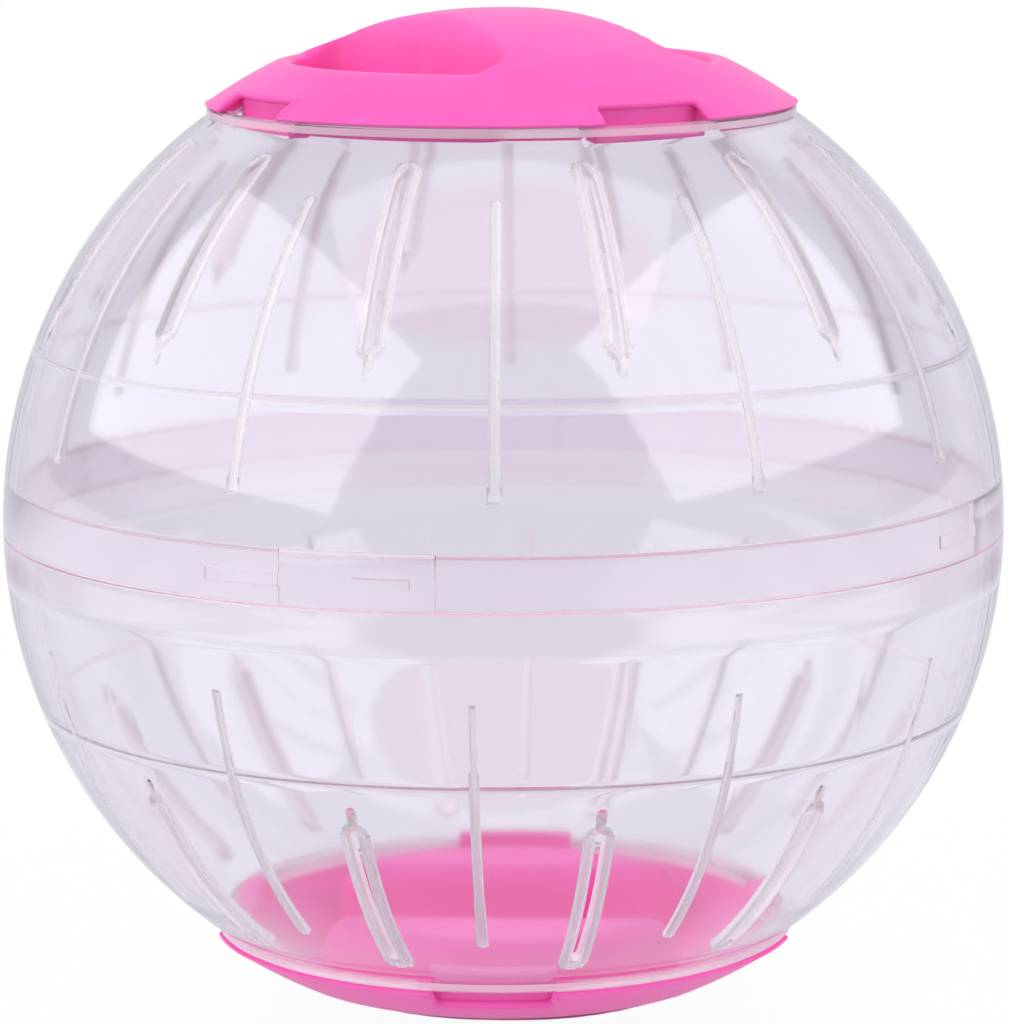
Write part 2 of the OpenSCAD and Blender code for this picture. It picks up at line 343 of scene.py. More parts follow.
def ribbedDepth(form, side, z, lonAngle, rho):
    # how far ribs, slot frames and the ring stand in from the wall at each grid point
    f = form
    p = f["softness"]
    slope = f["ballRadius"] / np.maximum(rho, 1)          # meridian length per unit of height
    ribSide = rho * np.sin(np.radians(angleFrom(lonAngle, side["ribLon"], f["ribCount"])))
    along = np.clip((z - f["ribFrom"]) / (f["ribTo"] - f["ribFrom"]), 0, 1)
    ribHalf = (side["ribEndWidth"] + (f["ribWidth"] - side["ribEndWidth"]) * along) / 2
    past = pastSpan(z, f["ribFrom"], f["ribTo"], ribHalf / slope) * slope
    rib = f["ribHeight"] * fullRound(np.hypot(ribSide, past) / ribHalf, p)
    slotLon = side["ribLon"] + 180 / f["ribCount"]
    slotSide = np.abs(rho * np.sin(np.radians(angleFrom(lonAngle, slotLon, f["ribCount"]))))
    reach = np.hypot(slotSide, pastSpan(z, f["slotFrom"], f["slotTo"], f["slotHalf"] / slope) * slope)
    barMiddle = (f["slotHalf"] + f["frameHalf"]) / 2
    barHalf = (f["frameHalf"] - f["slotHalf"]) / 2 + 0.06
    bar = f["ribHeight"] * fullRound((reach - barMiddle) / barHalf, p)
    under = f["slotFrom"] - z
    tipHalf = f["tipHalf"] + (f["tipRootHalf"] - f["tipHalf"]) * (1 - smoothStep(under / 2))
    fade = smoothStep((under + 0.2) / 1.2) * (1 - smoothStep((under - 1) / (f["tipLength"] - 1)))
    tip = f["ribHeight"] * fullRound(slotSide / tipHalf, 2) * fade
    foot = (f["ribHeight"] * fullRound(ribSide / side["footHalf"], 4)
            * fullRound((z - f["ribFrom"] - f["footUp"]) / f["footReach"], 4))
    ring = side["ringDepth"] * smoothStep(1 - np.abs(z - f["ringHeight"]) / f["ringHalf"]) + 0 * lonAngle
    return np.maximum.reduce([rib, bar, tip, foot, ring])


def seamProfile(side, lonAngle, upper):
    # the rows between the inner wall and the outer wall at the parting line: a skirt with its locking groove
    # on the upper half, and a standing collar with its lugs on the lower half
    s = seamForm
    near = angleFrom(lonAngle, s["lugLon"], 4)
    if upper:
        groove = (near > -s["grooveEnd"]) & (near < s["pocketLon"] - s["lugLon"])
        inPocket = np.abs(angleFrom(lonAngle, s["pocketLon"], 4)) < s["pocketAngle"] / 2
        top, low = s["lugMiddle"] + s["grooveHeight"] / 2, s["lugMiddle"] - s["grooveHeight"] / 2
        bore = s["skirtBore"]
        heights = [s["skirtTop"], 5.5, 4.02, 3.98, top + 0.02, top, low, low - 0.02, 1.0, 0.2, -0.4,
                   side["seam"]]
        out = []
        for z in heights:
            r = np.full_like(lonAngle, bore)
            if low <= z <= top:
                r = np.where(groove, bore + s["grooveDepth"], r)
            if z < s["skirtTop"]:
                r = np.where(inPocket, bore + s["pocketDepth"], r)
            out.append((r, z))
        out.append((np.full_like(lonAngle, side["seamRadius"]), side["seam"]))
        return out
    inner, outer = s["collarInner"], s["collarOuter"]
    flat = np.full_like(lonAngle, 1.0)
    lug = np.abs(near) < s["lugAngle"] / 2
    # heights are drawn pole up here, so the collar's top has the lowest one
    rim = -s["collarTop"]
    collar = [*s["collarRoot"], (inner, 1.2), (inner, 0.2), (inner, -1.5), (inner, -4.0), (inner, rim + 0.2),
              (inner + 0.2, rim), (outer - 0.2, rim), (outer, rim + 0.2), (outer, -4.5)]
    out = [(flat * r, z) for r, z in collar]
    top, low = s["lugMiddle"] + s["lugHeight"] / 2, s["lugMiddle"] - s["lugHeight"] / 2
    for z, proud in ((top + 0.05, 0), (top - 0.05, 1), (low + 0.05, 1), (low - 0.05, 0)):
        out.append((np.where(lug, outer + s["lugOut"] * proud, outer), -z))
    ledge = [(outer, -1.0), (outer, 0.4), (outer, side["seam"]), (side["seamRadius"], side["seam"])]
    return out + [(flat * r, z) for r, z in ledge]


def snapColumns(angles, upper):
    # the two columns beside each end of a pocket, groove or lug close up on it, so the end is a clean step
    s = seamForm
    kind = "pocket" if upper else "lug"
    half, middle = s[kind + "Angle"] / 2, s[kind + "Lon"]
    ends = [middle - half, middle + half] + [s["lugLon"] - s["grooveEnd"]] * upper
    snapped = angles.copy()
    for end in [end + 90 * quarter for quarter in range(4) for end in ends]:
        gap = (angles - end + 180) % 360 - 180
        before, after = np.argmax(np.where(gap < 0, gap, -360)), np.argmin(np.where(gap < 0, 360, gap))
        snapped[before] = angles[before] - gap[before] - s["stepAngle"]
        snapped[after] = angles[after] - gap[after] + s["stepAngle"]
    return snapped


def halfShellArrays(side, upper):
    # every row of the closed profile as radius and height over all columns, drawn pole up
    f = shellForm
    ball, inner = f["ballRadius"], f["ballRadius"] - f["wall"]
    rows = meridianRows(f, seamForm["skirtTop"])
    rowRho = np.sqrt(ball ** 2 - rows ** 2)
    sector, slotEdge = sectorColumns(f, rowRho)
    perSector = sector.shape[1]
    starts = side["ribLon"] + 360 / f["ribCount"] * np.arange(f["ribCount"])
    def spread(sectorAngles):
        return (starts[None, :, None] + sectorAngles[:, None, :]).reshape(len(sectorAngles), -1)
    radius, height, lon = [], [], []
    def addRow(r, z, angles):
        radius.append(r + 0 * angles)
        height.append(z + 0 * angles)
        lon.append(angles)
    # outer wall, from the seam up
    lowOuter = np.concatenate([side["seam"] + np.array([0, 0.12]),
                               np.linspace(side["seam"] + 1.2, rows[-1] - 1.4, 4)])
    lowAngles = spread(sectorColumns(f, np.sqrt(ball ** 2 - lowOuter ** 2))[0])
    for k, z in enumerate(lowOuter):
        shrink = 0.1 if k == 0 else 0.0
        addRow(np.sqrt(ball ** 2 - z ** 2) - shrink, z, lowAngles[k])
    outerStart = len(radius)
    rowAngles = spread(sector)
    for k in range(len(rows) - 1, -1, -1):
        addRow(rowRho[k], rows[k], rowAngles[k])
    # neck and flange, with a notch over each hook
    neckAngles = spread(sectorColumns(f, np.array([f["neckRadius"]]))[0])[0]
    nearNotch = angleFrom(neckAngles, side["notchLon"], 4)
    hole = np.where(np.abs(nearNotch) < np.degrees(np.arcsin(f["notchHalf"] / f["holeRadius"])),
                    f["notchRadius"], f["holeRadius"])
    neck = f["neckRadius"]
    foot, top = f["neckHeight"], f["flangeTop"]
    for r, z in ((neck + 0.2, foot), (neck, foot + 0.15), (neck, top - 0.25), (neck - 0.25, top),
                 ((neck + hole) / 2, top), (hole + 0.2, top), (hole, top - 0.2),
                 (hole, f["flangeUnder"] + 0.15)):
        addRow(r, z, neckAngles)
    # inner wall, from the flange down; its first two rows draw in to the hole's edge
    innerStart = len(radius)
    depth = ribbedDepth(f, side, rows[:, None], rowAngles, rowRho[:, None])
    for k, z in enumerate(rows):
        plain = np.sqrt(inner ** 2 - z ** 2)
        r = np.sqrt((inner - depth[k]) ** 2 - z ** 2)
        if k < 2:
            r = np.maximum(np.minimum(r, plain), hole + 0.15 + 0.3 * k)
        addRow(r, z, rowAngles[k])
    seamAngles = snapColumns(spread(sectorColumns(f, np.array([inner]))[0])[0], upper)
    for r, z in seamProfile(side, seamAngles, upper):
        addRow(r, z, seamAngles)
    info = {"outerStart": outerStart, "rowCount": len(rows), "innerStart": innerStart,
            "rows": rows, "perSector": perSector, "slotEdge": slotEdge}
    return np.array(radius), np.array(height), np.array(lon), info


def shellFinish(middles, normals):
    # 0 for the plain wall, 1 for ribs, slot frames and the ring, 2 for edges, which are faces turned out of
    # the wall's own direction, 3 for the seam's inner faces, which slide on each other
    f = shellForm
    height = np.abs(middles[:, 2])
    inSeam = height < seamForm["skirtTop"] + 0.05
    outward = middles * [1, 1, 0] + (~inSeam)[:, None] * middles * [0, 0, 1]
    outward /= np.linalg.norm(outward, axis=1)[:, None]
    turned = np.abs((outward * normals).sum(1)) < math.cos(math.radians(f["edgeTurn"]))
    reach = np.linalg.norm(middles, axis=1)
    inner = f["ballRadius"] - f["wall"]
    raised = (reach < inner - 0.04) & (height > f["ribFrom"] - 1) & (height < f["slotTo"] + 1.5)
    slotWall = turned & (height > f["slotFrom"] - 5) & (height < f["slotTo"] + 1)
    ring = (reach < inner + 0.04) & (np.abs(height - f["ringHeight"]) < f["ringHalf"])
    across = np.hypot(middles[:, 0], middles[:, 1])
    sliding = inSeam & (across > seamForm["collarInner"] - 0.05) & (across < seamForm["skirtBore"] + 0.7)
    # edge faces take the finish whose pink tint is painted light, standing in for the lids' pink light
    # carried along them
    edge = turned & (inSeam | (height > f["slotTo"] + 1))
    return np.select([raised | ring | slotWall, edge, sliding], [1, 2, 3], 0)


def buildHalfShell(name, side, upper, body):
    f = shellForm
    radius, height, lon, info = halfShellArrays(side, upper)
    rowTotal, colTotal = radius.shape
    first = int(np.argmin(np.abs(info["rows"] - f["slotTo"])))
    last = int(np.argmin(np.abs(info["rows"] - f["slotFrom"])))
    cells = 4                 # cells that a slot is wide
    holeCols = info["slotEdge"] + info["perSector"] * np.arange(f["ribCount"])
    outerOf = lambda k: info["outerStart"] + info["rowCount"] - 1 - k
    innerOf = lambda k: info["innerStart"] + k
    # the slot's edges draw together at its two ends, which rounds them
    fromEnd = np.minimum(np.abs(info["rows"] - f["slotTo"]), np.abs(info["rows"] - f["slotFrom"]))
    fromEnd = fromEnd * f["slotEndSlope"]
    narrow = np.sqrt(np.clip(1 - (1 - np.clip(fromEnd / f["slotHalf"], 0, 1)) ** 2, 0, 1))
    narrow = np.maximum(narrow, f["slotEndWidth"])
    for k in np.flatnonzero(fromEnd < f["slotHalf"]):
        for row in (outerOf(k), innerOf(k)):
            middle = lon[row, holeCols + cells // 2]
            for c in range(cells + 1):
                lon[row, holeCols + c] = middle + (lon[row, holeCols + c] - middle) * narrow[k]
    a = np.radians(lon - 90)
    x, y, z = radius * np.cos(a), radius * np.sin(a), height
    # the lower shell is mirrored pole down: longitudes stay, heights change sign
    points = np.stack([x, y, z if upper else -z], -1).reshape(-1, 3) * mm
    nextCol = (np.arange(colTotal) + 1) % colTotal
    cell = np.ones((rowTotal, colTotal), bool)
    cut = (holeCols[:, None] + np.arange(cells)[None, :]).ravel()
    for k in range(first, last):
        cell[outerOf(k) - 1, cut] = False
        cell[innerOf(k), cut] = False
    i, j = np.nonzero(cell)
    quads = [gridQuads(i, j, (i + 1) % rowTotal, nextCol[j], colTotal)]
    # walls of the slots
    for c, flip in ((0, False), (cells, True)):
        cols = holeCols + c
        for k in range(first, last):
            rows = (outerOf(k), outerOf(k + 1), innerOf(k), innerOf(k + 1))
            o0, o1, i0, i1 = [row * colTotal + cols for row in rows]
            quads.append(np.stack([o0, o1, i1, i0] if flip else [o0, i0, i1, o1], -1))
    for k, flip in ((first, False), (last, True)):
        for c in range(cells):
            cols, more = holeCols + c, holeCols + c + 1
            o0, o1 = outerOf(k) * colTotal + cols, outerOf(k) * colTotal + more
            i0, i1 = innerOf(k) * colTotal + cols, innerOf(k) * colTotal + more
            quads.append(np.stack([o0, o1, i1, i0] if flip else [o0, i0, i1, o1], -1))
    faces = np.concatenate(quads)
    return meshPiece(name, points, faces, body, name, shellMaterials, f["sharpAngle"], shellFinish)


# Pink grip lids: a domed cap with a half-moon finger scoop on each side of the grip, and four hooks.

lidForm = {
    "wall": 1.8,
    "domeRadius": 73.888,
    "crest": 73.738,
    "land": 66.60,
    "scoopRadius": 29.5,
    "scoopFloor": 58.00,
    "scoopCorner": 2.6,       # plan radius of the scoops' ends
    "scoopMiddle": 21.5,      # where a scoop's middle lies across the grip
    "endSpan": 34,            # degrees of the lid's rim whose columns go round a scoop's end
    "gripFoot": 14.22,        # half width of the grip at the scoops' floor
    "gripDraft": 8.0,
    "gripEdge": 6.0,          # radius of the grip's long edges
    "gripLean": 1.62,         # how far the grip's side has leant in where that radius begins
    "gripFillet": 1.6,
    "rimDraft": 3.0,
    "rimEdge": 1.1,           # radius of the scoops' outer lip
    "rimFillet": 3.0,
    "hookRadius": 38.5,       # the windows are cut outside this radius
    "windowHalf": 8.7,
    "edgeRadius": 42.5,
    "edgeHeight": 60.30,
    "edgeLift": 0.12,         # keeps the lid's edge a little blunt
    "hookLeg": 1.6,
    "hookTop": 62.3,          # where a hook's leg ends inside the lid's wall
    "toeRadius": 40.0,
    "toeUnder": 56.80,
    "toeTop": 58.00,
    "softness": 0.35,         # how gently the grip's side runs into the dome
    "beadRadius": 0.62,       # the windows' rounded edges; beadSunk is how deep their middle lies in the dome
    "beadSunk": 0.30,
    "beadCorner": 1.6,
    "beadShort": 0.25,        # how far before the lid's edge a bead ends
    "sharpAngle": 42,
    "detail": 2,              # how finely the columns below are divided
    "rimColumns": (4, 30, 10, 30, 4),   # window, petal, window, petal, window over half the rim
    "gripColumns": 40,
    "filletRows": 8,
    "wallRows": 7,
    "lipRows": 10,
    "landRows": 15,
    "rimRadii": (38.5, 39.3, 40.1, 40.9, 41.6, 42.1, 42.35, 42.5),      # rows of the rim's upper face
    "underRadii": (38.5, 39.0, 39.5, 40.3, 41.2, 41.8, 42.1, 42.35),    # rows of the face below it
}


def softMin(a, b, k):
    # the lower of two heights, with the crease between them rounded over a height k
    h = np.clip(0.5 + 0.5 * (b - a) / k, 0, 1)
    return b * (1 - h) + a * h - k * h * (1 - h)


def windowEdge(radius):
    # half the angle that a window spans at a radius, in degrees: its sides are parallel
    return np.degrees(np.arcsin(lidForm["windowHalf"] / radius))


def rimAngles(radius, detail):
    # angles of the columns from one grip end to the other, which keep to the sides of the windows
    e = windowEdge(radius)
    marks = [0, e, 90 - e, 90 + e, 180 - e, 180]
    parts = [np.linspace(marks[i], marks[i + 1], count * detail + 1)[:-1]
             for i, count in enumerate(lidForm["rimColumns"])]
    return np.concatenate(parts + [np.array([180.0])])


def scoopOutline(detail):
    # plan of one scoop's foot: an arc, two round ends and the grip's straight side, with outward normals and
    # a share that is 1 along the grip and 0 along the arc
    f = lidForm
    c, foot, big = f["scoopCorner"], f["gripFoot"], f["scoopRadius"]
    endU = math.sqrt((big - c) ** 2 - (foot + c) ** 2)
    lean = math.atan2(foot + c, endU)
    turn = lean + math.pi / 2
    lengths = np.cumsum([0, c * turn, big * (math.pi - 2 * lean), c * turn])
    spans = [0, f["endSpan"], 180 - f["endSpan"], 180]
    along = np.interp(rimAngles(f["hookRadius"], detail), spans, lengths)
    a = np.clip(along / c, 0, turn) - math.pi / 2
    b = np.clip((along - lengths[2]) / c, 0, turn) + math.pi - lean
    m = (along - lengths[1]) / big + lean
    right, left = along <= lengths[1], along >= lengths[2]
    angle = np.where(right, a, np.where(left, b, m))
    centreU = np.where(right, endU, np.where(left, -endU, 0))
    centreV = np.where(right | left, foot + c, 0)
    radius = np.where(right | left, c, big)
    normal = np.stack([np.cos(angle), np.sin(angle)], -1)
    arc = np.stack([centreU, centreV], -1) + radius[:, None] * normal
    gripShare = np.where(right, 1 - smoothStep((a + math.pi / 2) / turn),
                         np.where(left, smoothStep((b - math.pi + lean) / turn), 0))
    n = f["gripColumns"] * detail
    u = np.linspace(-endU, endU, n + 1)[1:-1]
    line = np.stack([u, foot + 0 * u], -1)
    down = np.stack([0 * u, -1 + 0 * u], -1)
    return np.vstack([arc, line]), np.vstack([normal, down]), np.concatenate([gripShare, 1 + 0 * u])


def lidSheet(inset, detail):
    # one face of half a lid over all columns, from the scoop's middle out to the hooks' radius: floor,
    # fillet, wall, lip, then the dome; an inset of the wall's thickness gives the inner face
    f = lidForm
    foot, normal, grip = scoopOutline(detail)
    draft = np.radians(f["rimDraft"] + (f["gripDraft"] - f["rimDraft"]) * grip)
    foot = foot + normal * (inset * (1 - np.sin(draft)) / np.cos(draft))[:, None]
    floor = f["scoopFloor"] - inset
    fillet = f["rimFillet"] + (f["gripFillet"] - f["rimFillet"]) * grip + inset
    top = f["land"] + (f["crest"] - f["land"]) * grip - inset
    lip = np.maximum(f["rimEdge"] + (f["gripEdge"] - f["rimEdge"]) * grip - inset, 0.15)
    dome = f["domeRadius"] - inset
    across, height = [], []
    inward = -fillet * (1 - np.sin(draft)) / np.cos(draft)
    for t in np.linspace(0, 1, f["filletRows"]):
        a = t * (np.pi / 2 - draft)
        across.append(inward + fillet * np.sin(a))
        height.append(floor + fillet * (1 - np.cos(a)))
    lipLow = top - lip + lip * np.sin(draft)
    wallFoot = height[-1]
    for t in np.linspace(0, 1, f["wallRows"])[1:-1]:
        z = wallFoot + (lipLow - wallFoot) * t
        across.append((z - floor) * np.tan(draft))
        height.append(z)
    lipCentre = (lipLow - floor) * np.tan(draft) + lip * np.cos(draft)
    for t in np.linspace(0, 1, f["lipRows"]):
        b = draft + t * (np.pi / 2 - draft)
        across.append(lipCentre - lip * np.cos(b))
        height.append(top - lip + lip * np.sin(b))
    across, height = np.array(across), np.array(height)
    plan = foot[None] + normal[None] * across[:, :, None]
    middle = np.array([0.0, f["scoopMiddle"]])
    shares = np.array([0, 0.3, 0.6, 0.85])[:, None, None]
    inner = middle + (plan[0][None] - middle) * shares
    innerZ = np.full(inner.shape[:2], floor)
    # rows from the lips out to the hooks' radius and, over the grip, to its middle line
    angles = np.radians(rimAngles(f["hookRadius"], detail))
    arc = f["hookRadius"] * np.stack([np.cos(angles), np.sin(angles)], -1)
    n = f["gripColumns"] * detail
    u = np.linspace(-f["hookRadius"], f["hookRadius"], n + 1)[1:-1]
    bound = np.vstack([arc, np.stack([u, 0 * u], -1)])
    t = np.linspace(0, 1, f["landRows"])[1:][:, None, None]
    outer = plan[-1][None] + (bound - plan[-1])[None] * t
    side = np.abs(outer[..., 1])
    edgeTop = f["crest"] - inset - (f["gripEdge"] - inset)
    gripTop = f["gripFoot"] - f["gripLean"]
    reach = np.clip(side - (gripTop - f["gripEdge"]), 0, f["gripEdge"] - inset - 0.05)
    barrel = edgeTop + np.sqrt((f["gripEdge"] - inset) ** 2 - reach ** 2)
    barrel = np.where(side > gripTop - inset, 0, barrel)
    plain = np.maximum(f["land"] - inset, barrel)
    # the lips' height eases into the land or into the grip's rounded top over the first rows
    ease = smoothStep(t[..., 0] * 2.2)
    outerZ = height[-1][None] * (1 - ease) + plain * ease
    plan = np.concatenate([inner, plan, outer])
    z = np.concatenate([innerZ, height, outerZ])
    domeHeight = np.sqrt(np.maximum(dome ** 2 - (plan ** 2).sum(-1), 0))
    # the dome cuts all that stands above it, and the scoops' lower part keeps its height
    rounded = softMin(z, domeHeight, f["softness"])
    z = np.where(z > floor + 0.4 * (f["land"] - f["scoopFloor"]), rounded, z)
    z[-1] = np.where(np.arange(z.shape[1]) < len(angles), domeHeight[-1], z[-1])
    return plan, z, len(angles)


def lidHook(turnDegrees):
    # a hook is an L-shaped profile swept sideways along its ring, with flat ends
    f = lidForm
    out, inn, toe = f["hookRadius"] - 0.01, f["hookRadius"] - f["hookLeg"], f["toeRadius"]
    low, high, top = f["toeUnder"], f["toeTop"], f["hookTop"]
    profile = np.array([(inn, top), (inn, low + 0.3), (inn + 0.1, low + 0.1), (inn + 0.3, low),
                        (toe - 0.3, low), (toe - 0.1, low + 0.1), (toe, low + 0.3), (toe, high - 0.2),
                        (toe - 0.2, high), (out + 0.3, high), (out, high + 0.3), (out, top)])
    w = f["windowHalf"] - 0.02
    across = np.array([-w, -w + 0.15] + list(np.linspace(-w + 1, w - 1, 15)) + [w - 0.15, w])
    r = profile[:, 0][None, :] + 0 * across[:, None]
    z = profile[:, 1][None, :] + 0 * across[:, None]
    t = across[:, None] + 0 * r
    grid = turnedAbout(np.stack([np.sqrt(r ** 2 - t ** 2), t, z], -1), turnDegrees)
    rows, cols = r.shape
    i, j = np.meshgrid(np.arange(rows - 1), np.arange(cols), indexing="ij")
    sides = gridQuads(i, j, i + 1, (j + 1) % cols, cols)
    # each end is closed by a strip of quads across the profile's two arms
    pairs = [(0, 1, 10, 11), (1, 2, 9, 10), (2, 3, 8, 9), (3, 4, 7, 8), (4, 5, 6, 7)]
    ends = []
    for base, flip in ((0, True), ((rows - 1) * cols, False)):
        for quad in pairs:
            ends.append([base + q for q in (quad[::-1] if flip else quad)])
    return grid.reshape(-1, 3), np.vstack([sides, np.array(ends)])


def windowBead(turnDegrees):
    # the rounded edge of a window: a thin round bead that follows the dome along its two sides and its back
    f = lidForm
    sideCount, bendCount, ringCount = 5, 7, 12
    corner, back, half = f["beadCorner"], f["hookRadius"], f["windowHalf"]
    rim = np.sqrt(f["edgeRadius"] ** 2 - half ** 2) - f["beadShort"]
    backAtSide = np.sqrt(back ** 2 - half ** 2)
    side = np.linspace(rim, backAtSide + corner, sideCount + 1)[:-1]
    bend = np.linspace(0, np.pi / 2, bendCount)
    bendOut = backAtSide + corner - corner * np.sin(bend)
    bendAcross = half - corner + corner * np.cos(bend)
    straight = np.linspace(half - corner, 0, 12)[1:]
    out = np.concatenate([side, bendOut, np.sqrt(back ** 2 - straight ** 2)])
    across = np.concatenate([np.full(sideCount, half), bendAcross, straight])
    # the bend ends on the back's own arc
    onBend = slice(sideCount, sideCount + bendCount)
    out[onBend] += (np.sqrt(back ** 2 - across[onBend] ** 2) - backAtSide) * np.linspace(0, 1, bendCount)
    out, across = np.concatenate([out, out[-2::-1]]), np.concatenate([across, -across[-2::-1]])
    height = np.sqrt(f["domeRadius"] ** 2 - out ** 2 - across ** 2) - f["beadSunk"]
    path = np.stack([out, across, height], -1)
    along = np.gradient(path, axis=0)
    along /= np.linalg.norm(along, axis=1)[:, None]
    outward = path / np.linalg.norm(path, axis=1)[:, None]
    sideways = np.cross(along, outward)
    turn = np.linspace(0, 2 * np.pi, ringCount + 1)[:-1]
    fromEnd = np.minimum(np.arange(len(path)), np.arange(len(path))[::-1])
    size = f["beadRadius"] * (0.5 + 0.5 * smoothStep(fromEnd / 3))
    grid = path[:, None] + size[:, None, None] * (np.cos(turn)[None, :, None] * outward[:, None]
                                                  + np.sin(turn)[None, :, None] * sideways[:, None])
    grid = turnedAbout(grid, turnDegrees)
    rows, cols = grid.shape[:2]
    i, j = np.meshgrid(np.arange(rows - 1), np.arange(cols), indexing="ij")
    tube = gridQuads(i, j, i + 1, (j + 1) % cols, cols)
    ends = []
    for base in (0, (rows - 1) * cols):
        for m in range(ringCount // 2 - 1):
            ends.append([base + m, base + m + 1, base + ringCount - 2 - m, base + ringCount - 1 - m])
    return grid.reshape(-1, 3), np.vstack([tube, np.array(ends)])


def buildLid(name, lon, up, body):
    f = lidForm
    detail = f["detail"]
    plans, heights, faces, offset = [], [], [], 0
    def addGrid(plan, z, closed, keep=None):
        nonlocal offset
        rows, cols = z.shape
        j = np.arange(cols if closed else cols - 1)
        if keep is not None:
            j = j[keep]
        i, j = np.meshgrid(np.arange(rows - 1), j, indexing="ij")
        faces.append(gridQuads(i, j, i + 1, (j + 1) % cols, cols) + offset)
        plans.append(plan.reshape(-1, 2))
        heights.append(z.ravel())
        offset += z.size
    outerPlan, outerZ, rimCount = lidSheet(0.0, detail)
    innerPlan, innerZ, _ = lidSheet(f["wall"], detail)
    # the rim beyond the hooks' radius: dome above, flat edge below, left out where the windows are
    radii, under = np.array(f["rimRadii"]), np.array(f["underRadii"])
    def ringPlan(r):
        angles = np.radians(rimAngles(r, detail))
        return r * np.stack([np.cos(angles), np.sin(angles)], -1)
    rimPlan = np.array([ringPlan(r) for r in radii])
    underPlan = np.array([ringPlan(r) for r in under])
    rimZ = np.sqrt(f["domeRadius"] ** 2 - radii ** 2)
    rimZ[-1] += f["edgeLift"]
    underZ = np.maximum(np.sqrt((f["domeRadius"] - f["wall"]) ** 2 - under ** 2), f["edgeHeight"])
    rimZ = np.repeat(rimZ[:, None], rimCount, 1)
    underZ = np.repeat(underZ[:, None], rimCount, 1)
    step = np.cumsum([0, *f["rimColumns"]]) * detail
    cells = np.arange(rimCount - 1)
    petal = ((cells >= step[1]) & (cells < step[2])) | ((cells >= step[3]) & (cells < step[4]))
    for mirror in (1, -1):
        flip = np.array([1.0, mirror])
        addGrid(outerPlan * flip, outerZ, True)
        addGrid(innerPlan * flip, innerZ, True)
        addGrid(rimPlan * flip, rimZ, False, petal)
        addGrid(underPlan * flip, underZ, False, petal)
        addGrid(np.stack([rimPlan[-1], underPlan[-1]]) * flip, np.stack([rimZ[-1], underZ[-1]]),
                False, petal)
        addGrid(np.stack([outerPlan[-1][:rimCount], innerPlan[-1][:rimCount]]) * flip,
                np.stack([outerZ[-1][:rimCount], innerZ[-1][:rimCount]]), False, ~petal)
        for c in step[1:5]:
            addGrid(np.stack([rimPlan[:, c], underPlan[:, c]]) * flip,
                    np.stack([rimZ[:, c], underZ[:, c]]), False)
    points = np.hstack([np.concatenate(plans), np.concatenate(heights)[:, None]])
    for quarter in range(4):
        for solidPoints, solidFaces in (lidHook(90 * quarter), windowBead(90 * quarter)):
            faces.append(solidFaces + len(points))
            points = np.vstack([points, solidPoints])
    # the grip's length runs along X so far; turn it to its longitude and, for the bottom lid, mirror it
    points = turnedAbout(points, lon - 90) * [1, 1, up] * mm
    return meshPiece(name, points, np.concatenate(faces), body, name, lidMaterials, f["sharpAngle"])


shellPieces = [buildHalfShell("upper_shell", upperShellForm, True, "upper_shell"),
               buildHalfShell("lower_shell", lowerShellForm, False, "lower_shell")]
lidPieces = [buildLid("top_lid", upperShellForm["notchLon"], 1, "top_lid"),
             buildLid("bottom_lid", lowerShellForm["notchLon"], -1, "bottom_lid")]
print("half shells and lids built")

# Floor, lights and camera

studio = {
    "floorSize": 6.0,
    "floorColour": "#EFEFF2",
    "cameraWhite": 0.95,       # share of the floor that is plain white to the camera; the rest is its shadow
    "shadowReach": (0.08, 0.20),   # metres from the middle between which that rest fades out
    "seenShare": 0.9,          # share of the floor that reflections and the clear plastic show plain,
    "seenColour": "#E8E4F0",   # in the grey white that a paper backdrop has behind the plastic
    "fill": 0.50,              # even light from all round
    "ceilingColour": "#8B8994",
    "ceiling": (0.55, 0.9),    # sines of the elevations between which what shows through darkens
    "backdrop": (0.74, 0.50),  # cosines off the backdrop's middle between which reflections leave it
}

softboxes = {
    # azimuth from the camera's side, elevation, distance, width, height, brightness against white
    "left_softbox": (-75, 33, 1.35, 2.1, 1.15, 1.45),
    "right_softbox": (72, 35, 1.35, 1.9, 1.15, 1.4),
    "top_softbox": (0, 76, 1.3, 1.5, 0.9, 0.85),
}


